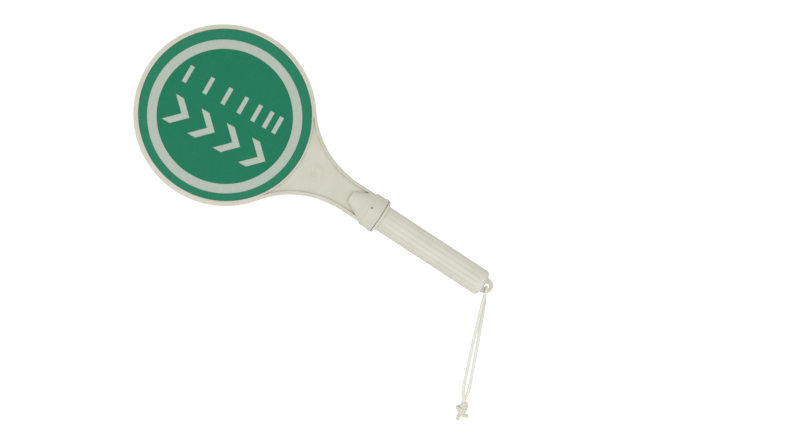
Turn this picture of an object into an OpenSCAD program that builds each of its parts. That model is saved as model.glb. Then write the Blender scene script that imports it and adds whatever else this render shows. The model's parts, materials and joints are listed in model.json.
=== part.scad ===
// Hand-held traffic paddle: a round two-faced head on a short flared neck, a ribbed grip
// pinned into the neck's collar, and a cord wrist loop through the lug at the grip's end.
//
// Millimetres. +Z runs up the handle to the head, and the front face looks along -Y.
// The origin is on the handle's axis, where the straight barrel of the grip begins.

/* [Head] */
// Diameter of the round head
head_d = 200; // [180:1:230]
// Radius of the flare that leads from the head into the neck
flare_r = 100; // [80:1:120]
// Width of the neck
neck_w = 36; // [32:1:36]
// Length of the straight neck between the flare and the collar
neck_l = 25.2; // [24:0.1:50]
// Thickness of the plain web of the neck
web_t = 3; // [2:0.5:4]
// Thickness of the plate that the sheeting lies on
seat_t = 4.6; // [4:0.2:5.6]
// Thickness over the border ribs of the neck
rib_t = 7.8; // [7:0.2:9]
// Width of the border ribs of the neck
rib_w = 3.6; // [3:0.2:5]
// Thickness of the head at its outer edge
edge_t = 3.8; // [2.5:0.1:4.2]

/* [Collar] */
// Outer diameter of the collar
collar_d = 40; // [37.5:0.1:40]
// Height of the collar, including its lip
collar_h = 15; // [13:0.5:18]
// Length of the tapered root that joins the collar to the web
root_l = 23.5; // [18:0.5:24]
// Diameter of the root's narrow end
root_d = 15.5; // [10:0.5:18]
// Diameter of the socket that takes the grip
socket_d = 28; // [26:0.5:29]
// Diameter of the cross hole for the locking pin
pin_hole_d = 2.4; // [2:0.2:3]

/* [Grip] */
// Diameter of the barrel
barrel_d = 30.4; // [30:0.2:32]
// Length of the barrel
barrel_l = 134.5; // [100:0.5:160]
// Wall thickness of the barrel
barrel_wall = 3; // [2:0.25:4]
// Number of long shallow grooves around the barrel
groove_n = 16; // [8:1:18]
// Thickness of the lanyard lug
lug_t = 4; // [3:0.2:4]
// Diameter of the lanyard hole
lug_hole_d = 6; // [5.6:0.2:7]

/* [Printed faces] */
// Distance from the edge of the head in to the pale ring
ring_inset = 15.2; // [12.5:0.1:20]
// Width of the pale ring
ring_w = 10.4; // [6:0.1:14]
// Sideways offset of the print from the centre of the head
print_x = -1.8; // [-2:0.1:2]
// Lengthways offset of the print from the centre of the head
print_z = -0.5; // [-2:0.1:2]
// Turn of the front symbols, in degrees, away from the line of the handle
symbol_turn = 3.5; // [0:0.5:6]
// Number of bold chevrons in the lower row
chevron_n = 4; // [3:1:4]
// Number of narrow bars in the upper row
bar_n = 7; // [4:1:8]

/* [Lanyard] */
// Diameter of the cord
cord_d = 3.5; // [3:0.1:3.5]
// Angle at rest between the hanging loop and the line of the handle
cord_turn = 69.2; // [0:0.1:90]

/* [Hidden] */
$fn = 96;

// Head outline, seen square on. The flare is an arc tangent to the head and to the neck.
head_r = head_d / 2;
neck_hw = neck_w / 2;
flare_x = neck_hw + flare_r;
flare_rise = sqrt(pow(head_r + flare_r, 2) - pow(flare_x, 2));
flare_turn = asin(flare_rise / (head_r + flare_r));
tangent_x = flare_x * head_r / (head_r + flare_r);
tangent_drop = flare_rise * head_r / (head_r + flare_r);

// Levels along the handle, upwards from the origin
flange_t = 2;
flange_bevel = 2.2;
flange_r = 20.2;
seam_gap = 0.8;
flange_top = flange_bevel + flange_t;
collar_bottom = flange_top + seam_gap;
collar_top = collar_bottom + collar_h;
flare_z = collar_top + neck_l;
head_z = flare_z + flare_rise;

// Rim of the head: an edge, a slope up to a raised bead, then the seat of the sheeting
bead_r = 1;
bead_inset = 4.2;
bead_ring_r = head_r - bead_inset;
bead_out_r = bead_ring_r + bead_r;
slope_top_h = 3.3;
bead_mid_h = 3.05;
bead_foot_hw = 0.8;
cut_h = 6;

// Border ribs: the flat along the crest and its rounded corners
rib_flat = 0.6;
rib_round = 0.4;

// Collar and socket
collar_r = collar_d / 2;
lip_r = collar_r + 0.9;
lip_band = 1.4;
lip_h = 3.5;
lip_round = 0.4;
socket_depth = 16;
root_round = 1.2;
root_slope = 28;
collar_round = 1.6;
collar_shoulder = 78;
pin_drop = 2.4;
pin_z = collar_top - pin_drop;
pin_recess = 0.7;
pin_l = 2 * (collar_r - pin_recess);
running_gap = 0.05;
seam_depth = 1.3;

// Moulding mark on the neck: a shallow dish with sloping sides and a nub, inside a fine ring
mark_drop = head_r + 16.4;
mark_dish_r = 5.4;
mark_dish_depth = 0.6;
mark_dish_slope = 1.6;
mark_cut = 1;
mark_nub_foot_r = 1.9;
mark_nub_top_r = 1.2;
mark_nub_h = 0.9;
mark_ring_r = 9.5;
mark_ring_w = 0.4;
mark_ring_depth = 0.15;

// Grip
barrel_r = barrel_d / 2;
barrel_round = 4.5;
end_wall = 5;
shoulder_wall = 2;
spigot_top = collar_bottom + socket_depth - 1;
spigot_bore_r = 11;
groove_r = 0.8;
groove_out = 0.52;
groove_start = 5.5;
groove_margin = 9;
groove_turn = 7;
lug_hw = 9;
lug_centre_drop = 2.7;
lug_hole_drop = 4.7;
lug_root = 2;
lug_bevel = 0.6;
hole_bevel = 0.5;
lug_hole_z = -barrel_l - lug_hole_drop;

// Sheeting and films. They lie in the seat, inside the bead.
ring_out_r = head_r - ring_inset;
ring_in_r = ring_out_r - ring_w;
seat_h = seat_t / 2;
sheet_t = 0.4;
film_t = 0.2;
sheet_r = bead_ring_r - bead_r - 0.2;
film_r = sheet_r - 0.1;
film_h = seat_h + sheet_t;

// Symbols, drawn for a field of one size and scaled to the field they lie in.
// Front: right runs along the handle to the grip, up runs across it.
drawn_field_r = 74.4;
symbol_scale = ring_in_r / drawn_field_r;
chevron_h = 31.5;
chevron_t = 10;
chevron_row_l = 121;
chevron_row_x = 2;
chevron_row_y = -21.2;
bar_w = 5;
bar_h = 20.6;
bar_row_l = 117;
bar_row_x = -1.5;
bar_row_y = 20.2;
bar_gap_ratio = 3;

// Rear symbol: an octagon band around a bar
octagon_r = 57;
octagon_band = 8;
stop_bar_l = 62;
stop_bar_w = 15;

// Lanyard. Distances run down the hanging loop from the centre of the lug hole.
cord_r = cord_d / 2;
bight_r = 2.6;
bight_drop = 0.6;
lug_gap = 0.3;
strand_y = lug_t / 2 + cord_r + lug_gap;
bight_foot = bight_drop + bight_r;
eye_end = 10;
upper_start = 15.5;
upper_end = 49;
middle_start = 54;
middle_end = 88;
lower_start = 93;
lower_end = 127;
knot_start = 130;
knot_l = 14.6;
knot_neck_r = 3.2;
knot_foot_r = 2.8;
knot_belly_r = 6.2;
knot_belly_drop = 0.55 * knot_l;
knot_belly_arc = [28, -60];
tail_long = 7;
tail_short = 6;
tail_apart = 2;
tail_hang_angle = 18;
tail_out_angle = 75;

// Half the gap between the strands' centres across the loop, at distances down it
strand_across = [
    [upper_start, 2.0],
    [62, 2.7],
    [114, 3.2],
    [lower_end, 2.4]
];
// Half the gap between the strands' centres front to back, at distances down the loop
strand_depth = [
    [upper_start, 3.0],
    [62, 0]
];

// Points of an arc, for the rounded stretches of turned profiles
function arc(x, y, r, from, to, steps = 8) =
    [for (i = [0:steps]) let (a = from + (to - from) * i / steps) [x + r * cos(a), y + r * sin(a)]];

// A plate in the plane of the head, centred on it: 2D x is X and 2D y is Z
module upright(depth) {
    rotate([90, 0, 0])
        linear_extrude(depth, center = true)
            children();
}

// A layer on the front of the head. 2D origin at the centre of the head.
module front_layer(from, thick) {
    translate([0, -from, head_z])
        rotate([90, 0, 0])
            linear_extrude(thick)
                children();
}

// A layer on the rear of the head, drawn as seen from behind
module rear_layer(from, thick) {
    translate([0, from, head_z])
        rotate([90, 0, 180])
            linear_extrude(thick)
                children();
}

// Flare and neck in 2D, narrowed by an inset on each side
module neck_outline(inset) {
    difference() {
        translate([-tangent_x, flare_z])
            square([2 * tangent_x, flare_rise - tangent_drop]);
        for (side = [-1, 1])
            translate([side * flare_x, flare_z])
                circle(r = flare_r + inset, $fn = 256);
    }
    translate([inset - neck_hw, collar_top - 1])
        square([neck_w - 2 * inset, neck_l + 1.01]);
}

// Section of a border rib: x runs in from the outline, y across the thickness
module rib_section() {
    crest = rib_t / 2;
    edge = edge_t / 2;
    flat_end = rib_w - rib_round;
    flat_start = flat_end - rib_flat;
    polygon([
        [0, -edge],
        [0, edge],
        [flat_start - rib_round, crest - rib_round / 2],
        [flat_start, crest],
        [flat_end, crest],
        [rib_w, crest - rib_round],
        [rib_w, rib_round - crest],
        [flat_end, -crest],
        [flat_start, -crest],
        [flat_start - rib_round, rib_round / 2 - crest]
    ]);
}

// One border rib, up the straight neck and round the flare to the edge of the head
module border_rib() {
    translate([neck_hw, 0, collar_top - 1])
        linear_extrude(neck_l + 1)
            mirror([1, 0])
                rib_section();
    translate([flare_x, 0, flare_z])
        rotate([90, 0, 0])
            rotate([0, 0, 180 - flare_turn])
                rotate_extrude(angle = flare_turn, $fn = 256)
                    translate([flare_r, 0])
                        rib_section();
}

// Round plate with its seat, bead and sloping rim
module head_disc() {
    translate([0, 0, head_z])
        rotate([90, 0, 0])
            rotate_extrude($fn = 256)
                for (face = [0, 1])
                    mirror([0, face]) {
                        square([bead_ring_r, seat_h]);
                        polygon([
                            [bead_ring_r - bead_foot_hw, 0],
                            [head_r, 0],
                            [head_r, edge_t / 2],
                            [bead_ring_r + bead_foot_hw, slope_top_h],
                            [bead_ring_r - bead_foot_hw, slope_top_h]
                        ]);
                        translate([bead_ring_r, bead_mid_h])
                            circle(r = bead_r, $fn = 32);
                    }
}

// Everything that is cleared away between the ribs, down to the web, on both faces
module web_pockets() {
    for (face = [-1, 1])
        translate([0, face * (web_t + cut_h) / 2, 0])
            upright(cut_h)
                difference() {
                    neck_outline(rib_w - 0.01);
                    translate([0, head_z])
                        circle(r = bead_out_r, $fn = 256);
                }
}

// Turned outside of the collar, its lip and the tapered root that grows out of the web
module collar_outside() {
    tip = collar_top + root_l;
    rotate_extrude()
        polygon(concat(
            [
                [0, collar_bottom],
                [lip_r - lip_round, collar_bottom],
                [lip_r, collar_bottom + lip_round],
                [lip_r, collar_bottom + lip_band],
                [collar_r, collar_bottom + lip_h]
            ],
            arc(collar_r - collar_round, collar_top - collar_round, collar_round, 0, collar_shoulder),
            arc(root_d / 2 - root_round, tip - root_round, root_round, root_slope, 90),
            [[0, tip]]
        ));
}

// Moulding mark on the front of the neck
module moulding_mark() {
    translate([0, -web_t / 2, head_z - mark_drop])
        rotate([90, 0, 0]) {
            translate([0, 0, -mark_dish_depth])
                difference() {
                    cylinder(
                        r1 = mark_dish_r - mark_dish_slope * mark_dish_depth,
                        r2 = mark_dish_r + mark_dish_slope * (mark_cut - mark_dish_depth),
                        h = mark_cut
                    );
                    cylinder(r1 = mark_nub_foot_r, r2 = mark_nub_top_r, h = mark_nub_h);
                }
            translate([0, 0, -mark_ring_depth])
                difference() {
                    cylinder(r = mark_ring_r, h = mark_cut);
                    cylinder(r = mark_ring_r - mark_ring_w, h = mark_cut);
                }
        }
}

// Symbols of the front, the wayward turn of the print included
module front_symbols() {
    translate([print_x, print_z])
        rotate(symbol_turn - 90)
            scale(symbol_scale) {
                chevron_row();
                bar_row();
            }
}

// Bold chevrons that point along the handle towards the grip
module chevron_row() {
    chevron_l = chevron_t + chevron_h / 2;
    pitch = (chevron_row_l - chevron_l) / (chevron_n - 1);
    half_h = chevron_h / 2;
    translate([chevron_row_x - chevron_row_l / 2, chevron_row_y])
        for (i = [0:chevron_n - 1])
            translate([i * pitch, 0])
                polygon([
                    [0, half_h],
                    [chevron_t, half_h],
                    [chevron_l, 0],
                    [chevron_t, -half_h],
                    [0, -half_h],
                    [half_h, 0]
                ]);
}

// Place of a bar along its row: the gaps close up steadily from the first to the last
function bar_x(i) = i == 0 ? 0 : bar_x(i - 1) + bar_w + bar_gap(i);
function bar_gap(i) =
    let (mean = (bar_row_l - bar_n * bar_w) / (bar_n - 1))
    let (last = 2 * mean / (1 + bar_gap_ratio))
    last * (1 + (bar_gap_ratio - 1) * (bar_n - 1 - i) / max(1, bar_n - 2));

// Narrow upright bars, ever closer together, as on a road that asks for a lower speed
module bar_row() {
    translate([bar_row_x - bar_row_l / 2, bar_row_y - bar_h / 2])
        for (i = [0:bar_n - 1])
            translate([bar_x(i), 0])
                square([bar_w, bar_h]);
}

module octagon(r) {
    rotate(22.5)
        circle(r = r, $fn = 8);
}

module head_frame() {
    color("cornsilk")
        difference() {
            union() {
                difference() {
                    union() {
                        head_disc();
                        upright(web_t)
                            neck_outline(0);
                        border_rib();
                        mirror([1, 0, 0])
                            border_rib();
                    }
                    web_pockets();
                }
                collar_outside();
            }
            translate([0, 0, collar_bottom - 1])
                cylinder(d = socket_d, h = socket_depth + 1);
            translate([0, 0, pin_z])
                rotate([90, 0, 0])
                    cylinder(d = pin_hole_d, h = 4 * collar_r, center = true);
            moulding_mark();
        }
}

module front_reflective_sheet() {
    color("honeydew")
        front_layer(seat_h, sheet_t)
            circle(r = sheet_r, $fn = 256);
}

module front_border_film() {
    color("seagreen")
        front_layer(film_h, film_t)
            difference() {
                circle(r = film_r, $fn = 256);
                translate([print_x, print_z])
                    circle(r = ring_out_r, $fn = 256);
            }
}

module front_field_film() {
    color("seagreen")
        front_layer(film_h, film_t)
            difference() {
                translate([print_x, print_z])
                    circle(r = ring_in_r, $fn = 256);
                front_symbols();
            }
}

module rear_reflective_sheet() {
    color("honeydew")
        rear_layer(seat_h, sheet_t)
            circle(r = sheet_r, $fn = 256);
}

module rear_border_film() {
    color("firebrick")
        rear_layer(film_h, film_t)
            difference() {
                circle(r = film_r, $fn = 256);
                circle(r = ring_out_r, $fn = 256);
            }
}

module rear_field_film() {
    color("firebrick")
        rear_layer(film_h, film_t)
            difference() {
                circle(r = ring_in_r, $fn = 256);
                octagon(octagon_r * symbol_scale);
            }
}

// The octagonal island inside the pale band, with a level bar cut out of it
module rear_symbol_film() {
    color("firebrick")
        rear_layer(film_h, film_t)
            scale(symbol_scale)
                difference() {
                    octagon(octagon_r - octagon_band);
                    square([stop_bar_l, stop_bar_w], center = true);
                }
}

// Turned outside of the grip: spigot, floor of the seam, flange, bevel, barrel and rounded end
module grip_outside() {
    rotate_extrude()
        polygon(concat(
            [
                [0, spigot_top],
                [socket_d / 2 - running_gap - 1, spigot_top],
                [socket_d / 2 - running_gap, spigot_top - 1],
                [socket_d / 2 - running_gap, collar_bottom - running_gap],
                [flange_r - seam_depth, collar_bottom - running_gap],
                [flange_r - seam_depth, flange_top],
                [flange_r - lip_round, flange_top],
                [flange_r, flange_top - lip_round],
                [flange_r, flange_bevel],
                [barrel_r, 0]
            ],
            arc(barrel_r - barrel_round, barrel_round - barrel_l, barrel_round, 0, -90),
            [[0, -barrel_l]]
        ));
}

// One long shallow groove with rounded ends, along the side of the barrel that faces +X
module groove() {
    reach = barrel_l - groove_start - groove_margin;
    translate([barrel_r + groove_out, 0, -groove_start - reach]) {
        cylinder(r = groove_r, h = reach, $fn = 24);
        sphere(r = groove_r, $fn = 24);
        translate([0, 0, reach])
            sphere(r = groove_r, $fn = 24);
    }
}

// Half-round lug with bevelled edges, its root sunk into the end of the barrel
module lug() {
    half_t = lug_t / 2;
    centre_z = -barrel_l - lug_centre_drop;
    translate([0, 0, centre_z])
        rotate([90, 0, 0])
            rotate_extrude()
                polygon([
                    [0, -half_t],
                    [lug_hw - lug_bevel, -half_t],
                    [lug_hw, lug_bevel - half_t],
                    [lug_hw, half_t - lug_bevel],
                    [lug_hw - lug_bevel, half_t],
                    [0, half_t]
                ]);
    translate([0, 0, centre_z])
        linear_extrude(lug_centre_drop + lug_root)
            polygon([
                [-lug_hw, lug_bevel - half_t],
                [lug_bevel - lug_hw, -half_t],
                [lug_hw - lug_bevel, -half_t],
                [lug_hw, lug_bevel - half_t],
                [lug_hw, half_t - lug_bevel],
                [lug_hw - lug_bevel, half_t],
                [lug_bevel - lug_hw, half_t],
                [-lug_hw, half_t - lug_bevel]
            ]);
}

// Lanyard hole through the lug, with bevelled mouths
module lug_hole() {
    mouth_h = 2 * hole_bevel;
    translate([0, 0, lug_hole_z])
        rotate([90, 0, 0]) {
            cylinder(d = lug_hole_d, h = lug_t + 2, center = true);
            for (face = [0, 1])
                mirror([0, 0, face])
                    translate([0, 0, lug_t / 2 - hole_bevel])
                        cylinder(r1 = lug_hole_d / 2, r2 = lug_hole_d / 2 + mouth_h, h = mouth_h);
        }
}

module grip() {
    color("ivory")
        difference() {
            union() {
                grip_outside();
                lug();
            }
            translate([0, 0, end_wall - barrel_l])
                cylinder(r = barrel_r - barrel_wall, h = barrel_l - end_wall - shoulder_wall);
            translate([0, 0, -shoulder_wall - 1])
                cylinder(r = spigot_bore_r, h = spigot_top + shoulder_wall + 2);
            for (i = [0:groove_n - 1])
                rotate(groove_turn + i * 360 / groove_n)
                    groove();
            lug_hole();
            translate([0, 0, pin_z])
                rotate([90, 0, 0])
                    cylinder(d = pin_hole_d, h = 4 * collar_r, center = true);
        }
}

module locking_pin() {
    color("dimgray")
        translate([0, 0, pin_z])
            rotate([90, 0, 0])
                cylinder(d = pin_hole_d - 2 * running_gap, h = pin_l, center = true);
}

// The loop hangs down -Z here, swung to its place at rest. Its plane is close to XZ.
module hung() {
    translate([0, 0, lug_hole_z])
        rotate([0, cord_turn, 0])
            children();
}

// Where a strand's centre is at a distance down the loop, on one side of it
function strand_at(side, drop) =
    [side * lookup(drop, strand_across), side * lookup(drop, strand_depth), -drop];

// A straight length of cord between two points
module cord_between(a, b) {
    span = b - a;
    long = norm(span);
    translate(a)
        rotate([0, acos(span[2] / long), atan2(span[1], span[0])])
            cylinder(r = cord_r, h = long, $fn = 32);
}

// Both strands of the loop between two distances
module strands(from, to) {
    for (side = [-1, 1])
        cord_between(strand_at(side, from), strand_at(side, to));
}

// The turn of cord that threads the lug, and its two legs beside the lug's faces
module lanyard_eye() {
    color("floralwhite")
        hung() {
            for (side = [-1, 1]) {
                translate([0, side * (strand_y - bight_r), -bight_foot])
                    rotate([0, -90, 0])
                        rotate(side > 0 ? 0 : -90)
                            rotate_extrude(angle = 90)
                                translate([bight_r, 0])
                                    circle(r = cord_r, $fn = 32);
                translate([0, side * strand_y, -eye_end])
                    cylinder(r = cord_r, h = eye_end - bight_foot, $fn = 32);
            }
            translate([0, 0, -bight_drop])
                rotate([90, 0, 0])
                    cylinder(r = cord_r, h = 2 * (strand_y - bight_r), center = true, $fn = 32);
        }
}

module lanyard_upper() {
    color("floralwhite")
        hung()
            strands(upper_start, upper_end);
}

module lanyard_middle() {
    color("floralwhite")
        hung()
            strands(middle_start, middle_end);
}

module lanyard_lower() {
    color("floralwhite")
        hung()
            strands(lower_start, lower_end);
}

// Pulled-tight knot, as a pear that is fattest low down
module knot_body() {
    rotate_extrude($fn = 48)
        polygon(concat(
            [[0, -knot_start], [knot_neck_r, -knot_start]],
            arc(0, -knot_start - knot_belly_drop, knot_belly_r, knot_belly_arc[0], knot_belly_arc[1]),
            [[knot_foot_r, -knot_start - knot_l], [0, -knot_start - knot_l]]
        ));
}

module lanyard_knot() {
    color("floralwhite")
        hung()
            knot_body();
}

// The two cut ends below the knot, one hanging and one standing out
module lanyard_tails() {
    root = -knot_start - knot_l + 1;
    color("floralwhite")
        hung()
            difference() {
                union() {
                    translate([-tail_apart, 0, root])
                        rotate([0, 180 + tail_hang_angle, 0])
                            cylinder(r = cord_r, h = tail_long, $fn = 32);
                    translate([tail_apart, 0, root])
                        rotate([0, 180 - tail_out_angle, 0])
                            cylinder(r = cord_r, h = tail_short, $fn = 32);
                }
                knot_body();
            }
}

head_frame();
front_reflective_sheet();
front_border_film();
front_field_film();
rear_reflective_sheet();
rear_border_film();
rear_field_film();
rear_symbol_film();
grip();
locking_pin();
lanyard_eye();
lanyard_upper();
lanyard_middle();
lanyard_lower();
lanyard_knot();
lanyard_tails();
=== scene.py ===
"""Looks of the hand-held traffic paddle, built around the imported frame. Metres."""

import json
import math

import bpy
import numpy as np
from mathutils import Matrix, Vector


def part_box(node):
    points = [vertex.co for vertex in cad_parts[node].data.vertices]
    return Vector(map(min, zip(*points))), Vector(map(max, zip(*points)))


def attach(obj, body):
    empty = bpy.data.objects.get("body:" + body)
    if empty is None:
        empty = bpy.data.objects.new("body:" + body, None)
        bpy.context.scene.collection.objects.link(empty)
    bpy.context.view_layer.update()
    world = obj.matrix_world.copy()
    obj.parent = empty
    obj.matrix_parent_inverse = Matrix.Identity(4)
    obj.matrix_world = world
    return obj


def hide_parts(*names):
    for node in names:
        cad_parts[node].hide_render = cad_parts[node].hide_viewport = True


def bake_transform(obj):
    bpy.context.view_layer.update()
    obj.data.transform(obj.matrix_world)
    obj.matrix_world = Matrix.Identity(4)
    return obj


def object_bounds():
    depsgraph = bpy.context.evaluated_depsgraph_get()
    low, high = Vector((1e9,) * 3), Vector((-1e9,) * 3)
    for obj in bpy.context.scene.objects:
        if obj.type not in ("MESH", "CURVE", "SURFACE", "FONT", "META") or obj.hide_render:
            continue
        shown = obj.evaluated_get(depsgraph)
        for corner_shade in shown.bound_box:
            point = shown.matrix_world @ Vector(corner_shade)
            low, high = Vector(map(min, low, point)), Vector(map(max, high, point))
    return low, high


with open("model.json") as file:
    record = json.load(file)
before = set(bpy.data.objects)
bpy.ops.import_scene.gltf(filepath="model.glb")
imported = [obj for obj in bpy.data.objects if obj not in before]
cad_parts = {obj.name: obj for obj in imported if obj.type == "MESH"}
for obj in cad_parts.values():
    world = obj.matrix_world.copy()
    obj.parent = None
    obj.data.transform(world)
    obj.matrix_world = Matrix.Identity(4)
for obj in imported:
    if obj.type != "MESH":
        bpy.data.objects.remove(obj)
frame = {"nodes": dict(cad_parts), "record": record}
cad_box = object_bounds()

MM = 0.001


# ---------------------------------------------------------------- shader helpers
def linear(red, green, blue):
    """A display colour, 0 to 255 a channel, as a linear RGBA tuple."""
    def one(value):
        share = value / 255
        return share / 12.92 if share <= 0.04045 else ((share + 0.055) / 1.055) ** 2.4
    return (one(red), one(green), one(blue), 1.0)


class Shader:
    """A node tree under construction, with short calls for the nodes that repeat."""

    def __init__(self, name):
        self.material = bpy.data.materials.new(name)
        self.material.use_nodes = True
        self.tree = self.material.node_tree
        self.tree.nodes.clear()
        self.out = self.node("ShaderNodeOutputMaterial")
        self.surface = self.node("ShaderNodeBsdfPrincipled")
        self.link(self.surface.outputs[0], self.out.inputs["Surface"])
        self.place = self.node("ShaderNodeTexCoord").outputs["Object"]

    def node(self, kind, **settings):
        made = self.tree.nodes.new(kind)
        for key, value in settings.items():
            setattr(made, key, value)
        return made

    def link(self, source, target):
        self.tree.links.new(source, target)

    def put(self, target, value):
        """Sets an input to a number, a colour or another node's output."""
        if isinstance(value, bpy.types.NodeSocket):
            self.link(value, target)
        else:
            target.default_value = value

    def noise(self, scale, detail=4.0, roughness=0.5, distortion=0.0, place=None):
        made = self.node("ShaderNodeTexNoise")
        self.put(made.inputs["Vector"], place or self.place)
        self.put(made.inputs["Scale"], scale)
        self.put(made.inputs["Detail"], detail)
        self.put(made.inputs["Roughness"], roughness)
        self.put(made.inputs["Distortion"], distortion)
        return made.outputs["Fac"]

    def voronoi(self, scale, randomness=1.0):
        made = self.node("ShaderNodeTexVoronoi")
        self.put(made.inputs["Vector"], self.place)
        self.put(made.inputs["Scale"], scale)
        self.put(made.inputs["Randomness"], randomness)
        return made.outputs["Distance"]

    def ramp(self, value, low, high, out_low=0.0, out_high=1.0):
        """out_low up to low, out_high from high on, and a straight line between them."""
        made = self.node("ShaderNodeMapRange", clamp=True)
        self.put(made.inputs["Value"], value)
        self.put(made.inputs["From Min"], low)
        self.put(made.inputs["From Max"], high)
        self.put(made.inputs["To Min"], out_low)
        self.put(made.inputs["To Max"], out_high)
        return made.outputs["Result"]

    def math(self, operation, a, b=0.0):
        made = self.node("ShaderNodeMath", operation=operation)
        self.put(made.inputs[0], a)
        self.put(made.inputs[1], b)
        return made.outputs[0]

    def mix(self, share, a, b):
        made = self.node("ShaderNodeMix", data_type="RGBA")
        self.put(made.inputs["Factor"], share)
        self.put(made.inputs["A"], a)
        self.put(made.inputs["B"], b)
        return made.outputs["Result"]

    def stretch(self, x, y, z):
        """The object's coordinates, each multiplied by its own scale."""
        made = self.node("ShaderNodeMapping")
        self.put(made.inputs["Vector"], self.place)
        made.inputs["Scale"].default_value = (x, y, z)
        return made.outputs["Vector"]

    def attribute(self, name):
        return self.node("ShaderNodeAttribute", attribute_name=name).outputs["Fac"]

    def crevice(self, reach, samples=8):
        """0 in a corner or a gap narrower than reach, 1 in the open."""
        made = self.node("ShaderNodeAmbientOcclusion", samples=samples)
        self.put(made.inputs["Distance"], reach)
        return made.outputs["AO"]

    def bump(self, height, strength, distance):
        made = self.node("ShaderNodeBump")
        self.put(made.inputs["Height"], height)
        self.put(made.inputs["Strength"], strength)
        self.put(made.inputs["Distance"], distance)
        return made.outputs["Normal"]

    def finish(self, colour, roughness, normal=None, **extra):
        """Sets the surface's inputs; the words of an extra input's name are joined by underscores."""
        self.put(self.surface.inputs["Base Color"], colour)
        self.put(self.surface.inputs["Roughness"], roughness)
        if normal is not None:
            self.put(self.surface.inputs["Normal"], normal)
        for key, value in extra.items():
            self.put(self.surface.inputs[key.replace("_", " ")], value)
        return self.material


# ---------------------------------------------------------------- materials
# How far painted shade reaches from a corner, and how narrow a gap must be to get painted shadow
CORNER_REACH = 3 * MM
GAP_REACH = 1.2 * MM
# Strength of the painted shade in corners, of the painted shadow in gaps, and of the painted shade in
# grooves
CORNER_SHADE = 0.32
GAP_DARKNESS = 0.95
GROOVE_SHADE = 0.28
GROOVE_FADE = 1 * MM


def moulded_plastic(name, pale, deep, shade_and_specks, shadow, grooves=None):
    """Cream injection-moulded plastic: a fine satin grain, faint mottling, painted shade in its corners and
    painted shadow in narrow gaps.

    grooves gives the radius of a barrel about the Z axis, the depth of its grooves, and the heights
    between which they run: the floor of each groove gets a little painted shade.
    """
    s = Shader(name)
    mottle = s.noise(38, 3, 0.6)
    streaks = s.noise(1, 3, 0.6, place=s.stretch(160, 160, 14))
    colour = s.mix(s.ramp(mottle, 0.35, 0.7), pale, deep)
    colour = s.mix(s.ramp(streaks, 0.55, 0.8, 0, 0.22), colour, deep)
    # Painted shade: darker in corners, where ambient occlusion is low
    corner_shade = s.ramp(s.crevice(CORNER_REACH), 0.2, 0.8, CORNER_SHADE, 0.0)
    colour = s.mix(corner_shade, colour, shade_and_specks)
    gap = s.ramp(s.crevice(GAP_REACH), 0.25, 0.47, GAP_DARKNESS, 0.0)
    colour = s.mix(gap, colour, shadow)
    if grooves:
        radius, depth, low, high = grooves
        across = s.node("ShaderNodeVectorMath", operation="LENGTH")
        s.put(across.inputs[0], s.stretch(1, 1, 0))
        height = s.node("ShaderNodeSeparateXYZ")
        s.put(height.inputs[0], s.place)
        # Painted shade on the floor of each groove, between the two heights
        groove_shade = s.ramp(across.outputs["Value"], radius - depth, radius - 0.2 * depth, GROOVE_SHADE, 0.0)
        groove_shade = s.math("MULTIPLY", groove_shade, s.ramp(height.outputs["Z"], low, low + GROOVE_FADE))
        groove_shade = s.math("MULTIPLY", groove_shade, s.ramp(height.outputs["Z"], high - GROOVE_FADE, high, 1.0, 0.0))
        colour = s.mix(groove_shade, colour, shade_and_specks)
    specks = s.ramp(s.voronoi(420), 0.05, 0.11, 0.22, 0.0)
    colour = s.mix(specks, colour, shade_and_specks)
    scuffs = s.ramp(s.noise(90, 6, 0.75, 1.5), 0.52, 0.72, 0.0, 0.16)
    roughness = s.math("ADD", s.math("MULTIPLY", mottle, 0.12), s.math("ADD", scuffs, 0.34))
    grain = s.math("ADD", s.noise(2600, 2, 0.6), s.math("MULTIPLY", s.noise(240, 2), 0.7))
    normal = s.bump(grain, 0.22, 0.0002)
    return s.finish(colour, roughness, normal, Specular_IOR_Level=0.42,
                    Subsurface_Weight=0.12, Subsurface_Scale=0.004)


def beaded_film(name, shade, light, worn):
    """Overlay film on reflective sheeting: tiny cells show through as a fine regular grain."""
    s = Shader(name)
    cells = s.voronoi(1150, randomness=0.85)
    grain = s.noise(900, 3, 0.7)
    broad = s.noise(14, 3, 0.5)
    colour = s.mix(s.ramp(grain, 0.3, 0.75), shade, light)
    colour = s.mix(s.ramp(cells, 0.1, 0.75, 0.28, 0.0), colour, light)
    colour = s.mix(s.ramp(broad, 0.4, 0.75, 0.0, 0.25), colour, light)
    fine_scratches = s.noise(1, 5, 0.7, 0.6, place=s.stretch(900, 900, 40))
    wear = s.ramp(fine_scratches, 0.68, 0.8, 0.0, 0.15)
    colour = s.mix(wear, colour, worn)
    roughness = s.math("ADD", s.math("MULTIPLY", grain, 0.14), s.math("ADD", wear, 0.27))
    normal = s.bump(s.math("ADD", s.math("MULTIPLY", cells, -0.6), s.noise(120, 2)), 0.16, 0.00015)
    return s.finish(colour, roughness, normal, Specular_IOR_Level=0.12)


def dull_steel():
    s = Shader("dull_steel")
    tarnish = s.noise(700, 5, 0.65)
    colour = s.mix(s.ramp(tarnish, 0.35, 0.7), linear(166, 162, 144), linear(128, 124, 108))
    normal = s.bump(tarnish, 0.3, 0.0001)
    return s.finish(colour, s.ramp(tarnish, 0.3, 0.7, 0.35, 0.6), normal, Metallic=0.9)


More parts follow.
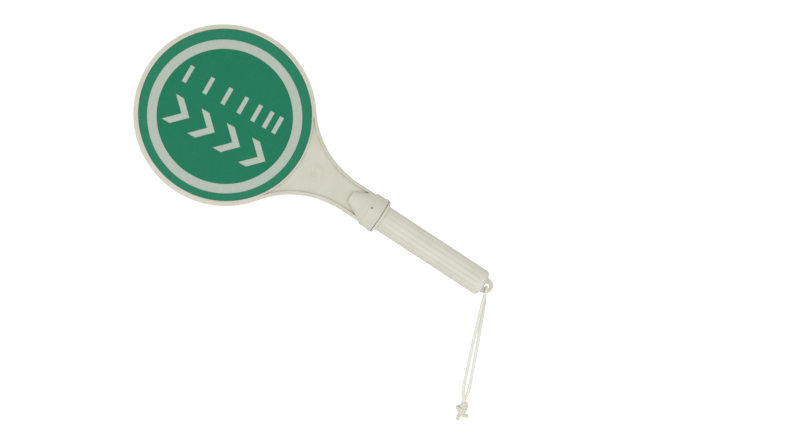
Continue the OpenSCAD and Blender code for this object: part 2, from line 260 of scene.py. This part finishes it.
def braided_cord(name, shade, light, soiled):
    """Off-white braid with fine fibres: painted shade makes it greyer between the yarns than on their paler
    crowns.
    """
    s = Shader(name)
    height = s.attribute("yarn_height")
    fibres = s.noise(3200, 4, 0.7)
    soil = s.noise(120, 4, 0.6)
    colour = s.mix(s.ramp(fibres, 0.3, 0.7), shade, light)
    colour = s.mix(s.ramp(soil, 0.45, 0.8, 0.0, 0.3), colour, soiled)
    # Painted shade: greyer where the braid is low, between the yarns
    colour = s.mix(s.ramp(height, 0.2, 0.7, 0.25, 0.0), colour, linear(192, 189, 174))
    normal = s.bump(fibres, 0.35, 0.00012)
    return s.finish(colour, 0.78, normal, Sheen_Weight=0.1, Sheen_Roughness=0.5,
                    Subsurface_Weight=0.1, Subsurface_Scale=0.002)


def paint(node, material):
    slots = frame["nodes"][node].data.materials
    slots.clear()
    slots.append(material)


GAP_SHADOW = linear(66, 57, 42)
BARREL_R = frame["record"]["mounts"][0]["dims"]["r_mm"] * MM
GROOVE_DEPTH = 0.28 * MM
# The painted shade in the grooves begins this far above the grip's foot and ends just below its flange
GROOVES_ABOVE_FOOT = 18 * MM
GROOVES_TOP = -2 * MM

grip_low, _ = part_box("grip")
grooves = (BARREL_R, GROOVE_DEPTH, grip_low[2] + GROOVES_ABOVE_FOOT, GROOVES_TOP)
# The third colour of each plastic is its painted shade in corners and grooves, and the colour of its specks
head_plastic = moulded_plastic("head_plastic", linear(214, 212, 197), linear(207, 205, 188),
                               linear(150, 143, 122), GAP_SHADOW)
grip_plastic = moulded_plastic("grip_plastic", linear(220, 219, 205), linear(213, 211, 195),
                               linear(154, 147, 127), GAP_SHADOW, grooves)
green_film = beaded_film("green_film", linear(25, 114, 83), linear(37, 127, 96), linear(75, 148, 120))
green_border = beaded_film("green_border", linear(34, 120, 89), linear(46, 133, 102), linear(82, 152, 125))
red_film = beaded_film("red_film", linear(158, 24, 22), linear(184, 40, 36), linear(200, 92, 84))
pale_sheet = beaded_film("pale_sheet", linear(172, 183, 170), linear(190, 199, 188), linear(206, 211, 201))
for node, material in {
    "head_frame": head_plastic,
    "grip": grip_plastic,
    "locking_pin": dull_steel(),
    "front_reflective_sheet": pale_sheet,
    "rear_reflective_sheet": pale_sheet,
    "front_border_film": green_border,
    "front_field_film": green_film,
    "rear_border_film": red_film,
    "rear_field_film": red_film,
    "rear_symbol_film": red_film,
}.items():
    paint(node, material)


# ---------------------------------------------------------------- where the lanyard hangs
JOINTS = {joint["name"]: joint for joint in frame["record"]["behaviour"]["joints"]}
HOLE = np.array(JOINTS["lanyard_swing"]["pos_m"])
ACROSS = np.array(JOINTS["lanyard_tilt"]["axis"])
DEEP = np.array(JOINTS["lanyard_swing"]["axis"])
DOWN = np.array(JOINTS["knot_bend"]["pos_m"]) - HOLE
DOWN /= np.linalg.norm(DOWN)


def hung(place):
    """Points given as (across, deep, drop) from the lanyard hole, in the row frame."""
    place = np.asarray(place, float)
    return HOLE + place[..., 0:1] * ACROSS + place[..., 1:2] * DEEP + place[..., 2:3] * DOWN


def joint_drop(name):
    return float(np.dot(np.array(JOINTS[name]["pos_m"]) - HOLE, DOWN))


def node_drops(node):
    """How far down the loop a CAD node begins and ends."""
    mesh = frame["nodes"][node].data
    flat = np.empty(3 * len(mesh.vertices), np.float32)
    mesh.vertices.foreach_get("co", flat)
    drops = (flat.reshape(-1, 3) - HOLE) @ DOWN
    return float(drops.min()), float(drops.max())


lower_low, lower_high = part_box("lanyard_lower")
CORD_R = (lower_high[1] - lower_low[1]) / 2
KNOT_TOP, KNOT_FOOT = node_drops("lanyard_knot")


# ---------------------------------------------------------------- curves
def resampled(points, step):
    """The same polyline with points at an even spacing close to step."""
    travelled = np.r_[0, np.cumsum(np.linalg.norm(np.diff(points, axis=0), axis=1))]
    even = np.linspace(0, travelled[-1], int(round(travelled[-1] / step)) + 1)
    return np.stack([np.interp(even, travelled, points[:, k]) for k in range(3)], 1)


def eased(points, passes):
    """Rounds a polyline's corners. Its two ends stay."""
    points = points.copy()
    for _ in range(passes):
        points[1:-1] = (points[:-2] + 2 * points[1:-1] + points[2:]) / 4
    return points


def carried_frames(points):
    """Tangents and two normals along a curve, carried along it without twist."""
    tangents = np.gradient(points, axis=0)
    tangents /= np.linalg.norm(tangents, axis=1)[:, None]
    normals = np.zeros_like(points)
    first = np.cross(tangents[0], [0.3, 0.8, 0.5])
    normals[0] = first / np.linalg.norm(first)
    for i in range(1, len(points)):
        along = normals[i - 1] - tangents[i] * np.dot(normals[i - 1], tangents[i])
        normals[i] = along / np.linalg.norm(along)
    return tangents, normals, np.cross(tangents, normals)


# ---------------------------------------------------------------- the knot, pulled tight
TREFOIL_GAP = 0.12      # angle left open where the two ends leave the loose knot
TREFOIL_POINTS = 240
TREFOIL_EASING = 30     # passes that round the corners between the knot and its ends


def open_trefoil(ring, swell, ends):
    """Centreline of a loose overhand knot with both ends free, upright along z."""
    turn = np.linspace(TREFOIL_GAP, 2 * np.pi - TREFOIL_GAP, TREFOIL_POINTS)
    reach = ring + swell * np.cos(3 * turn)
    core = np.stack([reach * np.cos(2 * turn), swell * np.sin(3 * turn), reach * np.sin(2 * turn)], 1)
    out = ring + 2 * swell
    head = [(out, 0, share * ends) for share in (1, 0.5, 0.12)]
    tail = [(x, y, -z) for x, y, z in reversed(head)]
    return eased(resampled(np.concatenate([head, core, tail]), swell / 6), TREFOIL_EASING)


NEIGHBOUR_REACH = 1.45  # points nearer along one strand than this many thicknesses may touch
STRETCH_LIMIT = 1.03    # the ends wait while the strands are stretched beyond this share of their length
END_DRIFT = 0.05        # share of the way that the ends move to their places beside the axis, a round
SEARCH_EVERY = 10       # rounds between two searches for close pairs of points
SEARCH_MARGIN = 2.5     # steps beyond touching at which a pair counts as close
PASSES = 4              # corrections of touching and length, a round
PUSH_SHARE = 0.45       # the pushes on a point are divided by this share of their number, if above 1
STIFFNESS = 0.25        # share of the way that a point moves to the middle of its neighbours, a round


def pulled_tight(strands, thick, step, pull, rounds):
    """Pulls the ends of the strands apart while they may neither stretch nor cross.

    Position based dynamics: every round moves the ends, then corrects overlaps and lengths.
    """
    sizes = [len(strand) for strand in strands]
    starts = np.r_[0, np.cumsum(sizes)]
    x = np.concatenate(strands)
    strand_of = np.repeat(np.arange(len(sizes)), sizes)
    order = np.concatenate([np.arange(size) for size in sizes])
    tops = starts[:-1]
    feet = starts[1:] - 1
    free = np.ones(len(x))
    free[tops] = 0
    free[feet] = 0
    links = np.flatnonzero(strand_of[:-1] == strand_of[1:])
    neighbours = math.ceil(NEIGHBOUR_REACH * thick / step)
    first, second = np.triu_indices(len(x), 1)
    apart = (strand_of[first] != strand_of[second]) | (np.abs(order[first] - order[second]) > neighbours)
    first, second = first[apart], second[apart]
    side = np.array([-0.5, 0.5]) * thick
    for turn in range(rounds):
        stretch = np.linalg.norm(x[links + 1] - x[links], axis=1).mean() / step
        if stretch < STRETCH_LIMIT:
            x[tops, 2] += pull
            x[feet, 2] -= pull
        for ends in (tops, feet):
            x[ends, 0] += END_DRIFT * (side - x[ends, 0])
            x[ends, 1] += END_DRIFT * (0 - x[ends, 1])
        if turn % SEARCH_EVERY == 0:
            close = np.linalg.norm(x[first] - x[second], axis=1) < thick + SEARCH_MARGIN * step
            a, b = first[close], second[close]
        for _ in range(PASSES):
            gap = x[a] - x[b]
            distance = np.linalg.norm(gap, axis=1)
            hit = distance < thick
            push = (0.5 * (thick - distance[hit]) / np.maximum(distance[hit], 1e-9))[:, None] * gap[hit]
            moved = np.zeros_like(x)
            count = np.zeros(len(x))
            np.add.at(moved, a[hit], push)
            np.add.at(moved, b[hit], -push)
            np.add.at(count, a[hit], 1)
            np.add.at(count, b[hit], 1)
            x += moved * (free / np.maximum(1, PUSH_SHARE * count))[:, None]
            for parity in (0, 1):
                p = links[parity::2]
                q = p + 1
                span = x[q] - x[p]
                length = np.linalg.norm(span, axis=1)
                fix = ((length - step) / length / np.maximum(free[p] + free[q], 1))[:, None] * span
                x[p] += free[p][:, None] * fix
                x[q] -= free[q][:, None] * fix
        for top, foot in zip(tops, feet):
            strand = x[top:foot + 1]
            strand[1:-1] += STIFFNESS * ((strand[:-2] + strand[2:]) / 2 - strand[1:-1])
        core = np.abs(x[:, 2]) < 2 * thick
        x[:, :2] -= x[core, :2].mean(0)
    return [x[top:foot + 1] for top, foot in zip(tops, feet)]


# The loose knot and the way it is pulled, in radii of the cord
KNOT_THICK = 1.74 * CORD_R
KNOT_STEP = 0.7 * CORD_R
KNOT_RING = 4.9 * CORD_R
KNOT_SWELL = 2.2 * CORD_R
KNOT_ENDS = 15 * CORD_R
KNOT_PULL = 0.07 * CORD_R
KNOT_ROUNDS = 3000
# Half the distance between the two strands at the start, as a share of their thickness
STRAND_OFFSET = 0.52


def tied_knot():
    """Both strands of the tight overhand knot, each from the loop's side down."""
    loose = open_trefoil(KNOT_RING, KNOT_SWELL, KNOT_ENDS)
    _, beside, _ = carried_frames(loose)
    strands = [resampled(loose + side * STRAND_OFFSET * KNOT_THICK * beside, KNOT_STEP) for side in (-1, 1)]
    return pulled_tight(strands, KNOT_THICK, KNOT_STEP, KNOT_PULL, KNOT_ROUNDS)


# ---------------------------------------------------------------- the cord, as one curve
SPAN_POINTS = 16        # points of the curve between two guides


def smooth_through(guides, step):
    """A centripetal Catmull-Rom curve through the guides, at an even spacing."""
    guides = np.asarray(guides, float)
    ends = 2 * guides[[0, -1]] - guides[[1, -2]]
    p = np.vstack([ends[:1], guides, ends[1:]])
    knots = np.r_[0, np.cumsum(np.sqrt(np.linalg.norm(np.diff(p, axis=0), axis=1)))]
    curve = [guides[:1]]
    for i in range(1, len(p) - 2):
        t0, t1, t2, t3 = knots[i - 1:i + 3]
        t = np.linspace(t1, t2, SPAN_POINTS + 1)[1:, None]
        a1 = ((t1 - t) * p[i - 1] + (t - t0) * p[i]) / (t1 - t0)
        a2 = ((t2 - t) * p[i] + (t - t1) * p[i + 1]) / (t2 - t1)
        a3 = ((t3 - t) * p[i + 1] + (t - t2) * p[i + 2]) / (t3 - t2)
        b1 = ((t2 - t) * a1 + (t - t0) * a2) / (t2 - t0)
        b2 = ((t3 - t) * a2 + (t - t1) * a3) / (t3 - t1)
        curve.append(((t2 - t) * b1 + (t - t1) * b2) / (t2 - t1))
    return resampled(np.concatenate(curve), step)


# One side of the loop as (across, deep, drop) in millimetres: through the hole, round the lug's
# edge, past its face, then down to the knot. The other side mirrors across and deep.
LOOP_SIDE = (
    (0.0, 1.2, 1.1), (0.05, 2.8, 1.75), (0.15, 3.8, 3.4), (0.45, 4.0, 5.8), (1.0, 3.9, 9),
    (1.8, 3.1, 17), (2.1, 1.9, 34), (2.4, 0.8, 50), (2.7, 0.1, 67), (2.95, 0.0, 85),
    (3.15, 0.0, 103), (3.2, 0.1, 114), (2.6, 0.4, 122),
)
# Ends of the two tails as (across, deep, drop) from the knot's foot, in millimetres
TAIL_TIPS = ((-3.5, -0.6, 5.9), (7.6, 0.8, 0.3))
# The directions that the two tails end in
TAIL_LEANS = ((-0.45, 0.0, 0.9), (0.93, 0.0, -0.35))
# Width of the knot after it is pulled, against its width in the simulation
KNOT_SLIM = 0.94
# Slope below which a strand counts as part of the knot's body, as a share of upright
TURNING = 0.5
# The strands are kept from a little above the knot's body to a little inside its foot
KEPT_ABOVE = 0.2 * CORD_R
CUT_INSIDE = 0.6 * CORD_R
TAIL_POINTS = 5
# Length of the handles of a tail's curve, as a share of the distance it spans
TAIL_HANDLE = 0.4
CORD_EASING = 6


def knot_strands():
    """The tied knot in (across, deep, drop) from the lanyard hole, cut just above and below it."""
    strands = tied_knot()
    steps = np.concatenate([np.diff(strand, axis=0) for strand in strands])
    starts = np.concatenate([strand[:-1] for strand in strands])
    turning = starts[np.abs(steps[:, 2]) < TURNING * np.linalg.norm(steps, axis=1)]
    top, foot = turning[:, 2].max() + CORD_R, turning[:, 2].min() - CORD_R
    taller = (KNOT_FOOT - KNOT_TOP) / (top - foot)
    cut = []
    for strand in strands:
        kept = strand[(strand[:, 2] < top + KEPT_ABOVE) & (strand[:, 2] > foot + CUT_INSIDE)]
        across, deep = -KNOT_SLIM * kept[:, 1], KNOT_SLIM * kept[:, 0]
        cut.append(np.stack([across, deep, KNOT_TOP + taller * (top - kept[:, 2])], 1))
    return cut


def tail_guides(start, before, tip, lean):
    """Guide points of a tail: it leaves the knot along its strand and ends along its lean."""
    tip = np.array(tip) * MM + (0, 0, KNOT_FOOT)
    leave = start - before
    leave = leave / np.linalg.norm(leave)
    lean = np.array(lean) / np.linalg.norm(lean)
    reach = TAIL_HANDLE * np.linalg.norm(tip - start)
    handles = (start, start + reach * leave, tip - reach * lean, tip)
    share = np.linspace(0, 1, TAIL_POINTS + 1)[1:, None]
    weights = ((1 - share) ** 3, 3 * share * (1 - share) ** 2, 3 * share ** 2 * (1 - share), share ** 3)
    return sum(weight * handle for weight, handle in zip(weights, handles))


def whole_cord(step):
    """Centreline of the whole cord from one tail's tip to the other's, as (across, deep, drop)."""
    halves = []
    for side, knot, tip, lean in zip((-1, 1), knot_strands(), TAIL_TIPS, TAIL_LEANS):
        loop = np.array(LOOP_SIDE) * MM * (side, side, 1)
        tail = tail_guides(knot[-1], knot[-2], tip, lean)
        halves.append(np.concatenate([loop, knot, tail]))
    guides = np.concatenate([halves[0][::-1], halves[1]])
    return eased(smooth_through(guides, step), CORD_EASING)


CORD_STEP = 0.2 * MM      # between two rings of points along the cord
CORD_RING = 48            # points in one ring
YARNS = 8                 # yarns that cross a ring in each direction
YARN_CELL = 1.15 * MM     # length of one crossing along the cord
YARN_RELIEF = 0.09 * MM
YARN_MEAN = 0.75          # height of the braid that lies at the cord's radius
# The strands press on one another in the knot, and fray and flare at the cut ends
KNOT_SQUEEZE = 1.06
SQUEEZE_ABOVE = 7 * MM
SQUEEZE_BELOW = 3 * MM
TAIL_FLARE = 1.3
FLARE_LENGTH = 5 * MM
# Below the lug the cord lies flatter, wider across the loop
FLATNESS = 1.26
FLAT_FROM, FLAT_TO = 10 * MM, 30 * MM


def braid_height(around, along):
    """Height of a two-over-two braid, 0 to 1, at an angle round the cord and a distance along it."""
    a = YARNS * around / (2 * np.pi) + along / YARN_CELL
    b = YARNS * around / (2 * np.pi) - along / YARN_CELL
    over = np.where((np.floor(a) + np.floor(b)) % 2 == 0, 1.0, -1.0)
    crown_a = np.cos(np.pi * (a % 1 - 0.5))
    crown_b = np.cos(np.pi * (b % 1 - 0.5))
    yarn_a = 0.6 * crown_a + 0.4 * over * crown_b
    yarn_b = 0.6 * crown_b - 0.4 * over * crown_a
    return np.clip(np.maximum(yarn_a, yarn_b), 0, 1)


class Cord:
    """The whole cord's rings of surface points, from which the pieces are cut."""

    def __init__(self):
        line = whole_cord(CORD_STEP)
        self.drop = line[:, 2]
        self.bight = int(np.argmin(self.drop))
        self.last = len(line) - 1
        self.centres = hung(line)
        self.tangents, normals, others = carried_frames(self.centres)
        around = np.arange(CORD_RING) * 2 * np.pi / CORD_RING
        along = np.arange(len(line)) * CORD_STEP
        self.height = braid_height(around[None, :], along[:, None])
        knot_span = (KNOT_TOP - SQUEEZE_ABOVE, KNOT_TOP, KNOT_FOOT, KNOT_FOOT + SQUEEZE_BELOW)
        squeeze = np.interp(self.drop, knot_span, (1, KNOT_SQUEEZE, KNOT_SQUEEZE, 1))
        from_end = np.minimum(along, along[-1] - along)
        flare = np.interp(from_end, (0, FLARE_LENGTH), (TAIL_FLARE, 1))
        radius = CORD_R * (squeeze * flare)[:, None] + YARN_RELIEF * (self.height - YARN_MEAN)
        spokes = (np.cos(around)[None, :, None] * normals[:, None]
                  + np.sin(around)[None, :, None] * others[:, None])
        wider = np.interp(self.drop, (FLAT_FROM, FLAT_TO), (0, FLATNESS - 1))
        spokes += (wider[:, None] * (spokes @ ACROSS))[:, :, None] * ACROSS
        self.rings = self.centres[:, None] + radius[:, :, None] * spokes

    def reach(self, side, drop):
        """The first ring at or past a drop, going out from the bight along one side, -1 or 1."""
        return self.bight + side * int(np.argmax(self.drop[self.bight::side] >= drop))

    def between(self, start, end):
        """The two runs of rings between two drops, as (first, last)."""
        return [tuple(sorted((self.reach(side, start), self.reach(side, end)))) for side in (-1, 1)]


class Skin:
    """The vertices and faces of one mesh, gathered tube by tube."""

    def __init__(self):
        self.points, self.heights, self.faces, self.smooth, self.count = [], [], [], [], 0

    def add_tube(self, rings, heights):
        """A closed tube: smooth sides and a flat cap at each end."""
        n, m = rings.shape[:2]
        ids = self.count + np.arange(n * m).reshape(n, m)
        turned = np.roll(ids, -1, axis=1)
        sides = np.stack([ids[:-1], turned[:-1], turned[1:], ids[1:]], -1).reshape(-1, 4)
        self.faces += sides.tolist() + [ids[0][::-1].tolist(), ids[-1].tolist()]
        self.smooth += [True] * len(sides) + [False, False]
        self.points.append(rings.reshape(-1, 3))
        self.heights.append(heights.reshape(-1))
        self.count += n * m

    def piece(self, name, material):
        mesh = bpy.data.meshes.new(name)
        mesh.from_pydata(np.concatenate(self.points).tolist(), [], self.faces)
        mesh.polygons.foreach_set("use_smooth", self.smooth)
        height = mesh.attributes.new("yarn_height", "FLOAT", "POINT")
        height.data.foreach_set("value", np.concatenate(self.heights).astype(np.float32))
        mesh.materials.append(material)
        made = bpy.data.objects.new(name, mesh)
        bpy.context.scene.collection.objects.link(made)
        return made


GOLDEN_ANGLE = math.pi * (3 - math.sqrt(5))
FIBRES = 30             # frayed yarn ends at each cut end
FIBRE_RINGS = 5
FIBRE_SIDES = 5
FIBRE_R = 0.17 * MM
FIBRE_TAPER = 0.65      # share of its radius that a fibre loses toward its tip
FIBRE_ROOT = 0.4 * MM   # how deep a fibre starts inside the cord
FIBRE_SPREAD = 0.86     # reach of the outermost roots, in radii of the cord
FIBRE_LENGTHS = (1.3 * MM, 2.3 * MM)
FIBRE_LEANS = (0.25, 0.75)
FIBRE_HEIGHT = 0.8      # where the fibres lie in the braid's shading, 0 to 1


def add_fibres(skin, centre, outward, rng):
    """The frayed yarn ends that stand out of a cut cord end."""
    _, beside, above = carried_frames(np.array([centre, centre + outward]))
    share = np.linspace(0, 1, FIBRE_RINGS)
    ring = np.arange(FIBRE_SIDES) * 2 * np.pi / FIBRE_SIDES
    for i in range(FIBRES):
        spread = math.sqrt((i + 0.5) / FIBRES)
        spoke = math.cos(i * GOLDEN_ANGLE) * beside[0] + math.sin(i * GOLDEN_ANGLE) * above[0]
        root = centre + FIBRE_SPREAD * CORD_R * spread * spoke - FIBRE_ROOT * outward
        length = rng.uniform(*FIBRE_LENGTHS)
        lean = spread * rng.uniform(*FIBRE_LEANS)
        path = root + length * (share[:, None] * outward + lean * (share ** 2)[:, None] * spoke)
        _, u, v = carried_frames(path)
        radius = FIBRE_R * (1 - FIBRE_TAPER * share)[:, None, None]
        spokes = np.cos(ring)[None, :, None] * u[:, None] + np.sin(ring)[None, :, None] * v[:, None]
        skin.add_tube(path[:, None] + radius * spokes, np.full((FIBRE_RINGS, FIBRE_SIDES), FIBRE_HEIGHT))


def add_cord_piece(cord, name, runs, material):
    skin = Skin()
    for first, last in runs:
        skin.add_tube(cord.rings[first:last + 1], cord.height[first:last + 1])
    return skin.piece(name, material)


def bend_piece(made):
    """Bakes the piece's transform into its mesh."""
    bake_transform(made)


# The lanyard's bodies from the lug down, the joints between them, and half the length of each bend
BODIES = ("lanyard_eye", "lanyard_upper", "lanyard_middle", "lanyard_lower", "lanyard_knot")
BENDS = ("lanyard_tilt", "lanyard_bend_upper", "lanyard_bend_lower", "knot_bend")
BEND_HALVES = (5 * MM, 15 * MM, 15 * MM, 3 * MM)
FRAY_SEED = 7


def add_lanyard(clean, knot_material):
    """The cord in five pieces that meet between its joints; only the knot's piece is attached to a body."""
    cord = Cord()
    drops = [joint_drop(name) for name in BENDS]
    cuts = [(a + b) / 2 for a, b in zip(drops, drops[1:])] + [drops[-1] + BEND_HALVES[-1]]
    eye_run = [(cord.reach(-1, cuts[0]), cord.reach(1, cuts[0]))]
    runs = [eye_run] + [cord.between(a, b) for a, b in zip(cuts, cuts[1:])]
    for body, child, run, drop, half in zip(BODIES, BODIES[1:], runs, drops, BEND_HALVES):
        made = add_cord_piece(cord, body.replace("lanyard", "cord"), run, clean)
        bend_piece(made)
        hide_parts(body)
    skin = Skin()
    rng = np.random.default_rng(FRAY_SEED)
    for side, end in ((-1, 0), (1, cord.last)):
        first, last = sorted((end, cord.reach(side, cuts[-1])))
        skin.add_tube(cord.rings[first:last + 1], cord.height[first:last + 1])
        add_fibres(skin, cord.centres[end], side * cord.tangents[end], rng)
    knot = skin.piece("cord_knot", knot_material)
    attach(knot, "lanyard_knot")
    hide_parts("lanyard_knot", "lanyard_tails")


clean_cord = braided_cord("braided_cord", linear(229, 229, 219), linear(239, 239, 231),
                          linear(219, 217, 203))
# The knot and its tails take the same braid in darker colours
knot_cord = braided_cord("knot_cord", linear(220, 218, 204), linear(230, 228, 215),
                            linear(208, 205, 188))
add_lanyard(clean_cord, knot_cord)


# ---------------------------------------------------------------- stage, lights and camera
FLOOR_HALF = 12.0
FLOOR_BELOW = 0.5


def add_floor(low):
    """A plain pale floor, well below the paddle, which is held in the air."""
    half = FLOOR_HALF
    mesh = bpy.data.meshes.new("floor")
    mesh.from_pydata([(-half, -half, low), (half, -half, low), (half, half, low), (-half, half, low)],
                     [], [(0, 1, 2, 3)])
    floor = bpy.data.objects.new("floor", mesh)
    bpy.context.scene.collection.objects.link(floor)
    s = Shader("floor_paper")
    shade = s.ramp(s.noise(3, 2), 0.3, 0.7, 0.0, 1.0)
    paper = s.mix(shade, (0.93, 0.93, 0.93, 1), (0.95, 0.95, 0.95, 1))
    seen = s.node("ShaderNodeLightPath").outputs["Is Camera Ray"]
    material = s.finish(paper, 0.9, Specular_IOR_Level=0.1, Emission_Color=paper, Emission_Strength=seen)
    mesh.materials.append(material)


def add_area(name, place, target, size, power):
    light = bpy.data.lights.new(name, "AREA")
    light.shape = "RECTANGLE"
    light.size = size
    light.size_y = size
    light.energy = power
    lamp = bpy.data.objects.new(name, light)
    lamp.location = place
    lamp.rotation_mode = "QUATERNION"
    lamp.rotation_quaternion = (Vector(target) - Vector(place)).to_track_quat("-Z", "Y")
    bpy.context.scene.collection.objects.link(lamp)


def add_world():
    """White to the camera, a soft light from all round, and dim in reflections except overhead."""
    world = bpy.data.worlds.new("studio")
    world.use_nodes = True
    tree = world.node_tree
    tree.nodes.clear()

    def node(kind, **settings):
        made = tree.nodes.new(kind)
        for key, value in settings.items():
            setattr(made, key, value)
        return made

    ray = node("ShaderNodeLightPath")
    aim = node("ShaderNodeSeparateXYZ")
    tree.links.new(node("ShaderNodeTexCoord").outputs["Generated"], aim.inputs[0])

    def by_height(low, high):
        """A strength that rises from low, seen downward, to high, seen upward."""
        made = node("ShaderNodeMapRange", interpolation_type="SMOOTHSTEP")
        tree.links.new(aim.outputs["Z"], made.inputs["Value"])
        made.inputs["From Min"].default_value = -0.6
        made.inputs["From Max"].default_value = 0.8
        made.inputs["To Min"].default_value = low
        made.inputs["To Max"].default_value = high
        return made.outputs["Result"]

    def choose(share, a, b):
        """a, or b where share is 1; b is an output or a plain number."""
        made = node("ShaderNodeMix", data_type="FLOAT")
        tree.links.new(share, made.inputs[0])
        tree.links.new(a, made.inputs[2])
        if isinstance(b, float):
            made.inputs[3].default_value = b
        else:
            tree.links.new(b, made.inputs[3])
        return made.outputs[0]

    strength = choose(ray.outputs["Is Glossy Ray"], by_height(0.58, 0.82), by_height(0.04, 1.0))
    strength = choose(ray.outputs["Is Camera Ray"], strength, 1.05)
    background = node("ShaderNodeBackground")
    background.inputs["Color"].default_value = (1, 1, 1, 1)
    tree.links.new(strength, background.inputs["Strength"])
    tree.links.new(background.outputs[0], node("ShaderNodeOutputWorld").inputs["Surface"])
    bpy.context.scene.world = world


def add_camera(azimuth, elevation, roll, distance, lens, target):
    """Looks at the target from an azimuth and elevation, rolled about its own line of sight."""
    a, e = math.radians(azimuth), math.radians(elevation)
    back = Vector((math.sin(a) * math.cos(e), -math.cos(a) * math.cos(e), math.sin(e)))
    right = Vector((math.cos(a), math.sin(a), 0))
    up = back.cross(right)
    turn = math.radians(roll)
    turned_right = right * math.cos(turn) + up * math.sin(turn)
    turned_up = up * math.cos(turn) - right * math.sin(turn)
    data = bpy.data.cameras.new("camera")
    data.sensor_width = 36
    data.lens = lens
    camera = bpy.data.objects.new("camera", data)
    place = Vector(target) + back * distance
    camera.matrix_world = Matrix((
        (turned_right.x, turned_up.x, back.x, place.x),
        (turned_right.y, turned_up.y, back.y, place.y),
        (turned_right.z, turned_up.z, back.z, place.z),
        (0, 0, 0, 1)))
    data.clip_start = 0.05
    data.clip_end = 100
    bpy.context.scene.collection.objects.link(camera)
    bpy.context.scene.camera = camera


bpy.context.scene.view_settings.view_transform = "Standard"
add_world()
add_floor(cad_box[0].z - FLOOR_BELOW)
add_area("key", place=(-0.9, -1.85, 0.3), target=(0, 0, 0.05), size=1.6, power=11.5)
add_camera(azimuth=-8.5, elevation=5.52, roll=-56.69, distance=2.033, lens=82.57,
           target=(0.0098, 0, -0.0168))
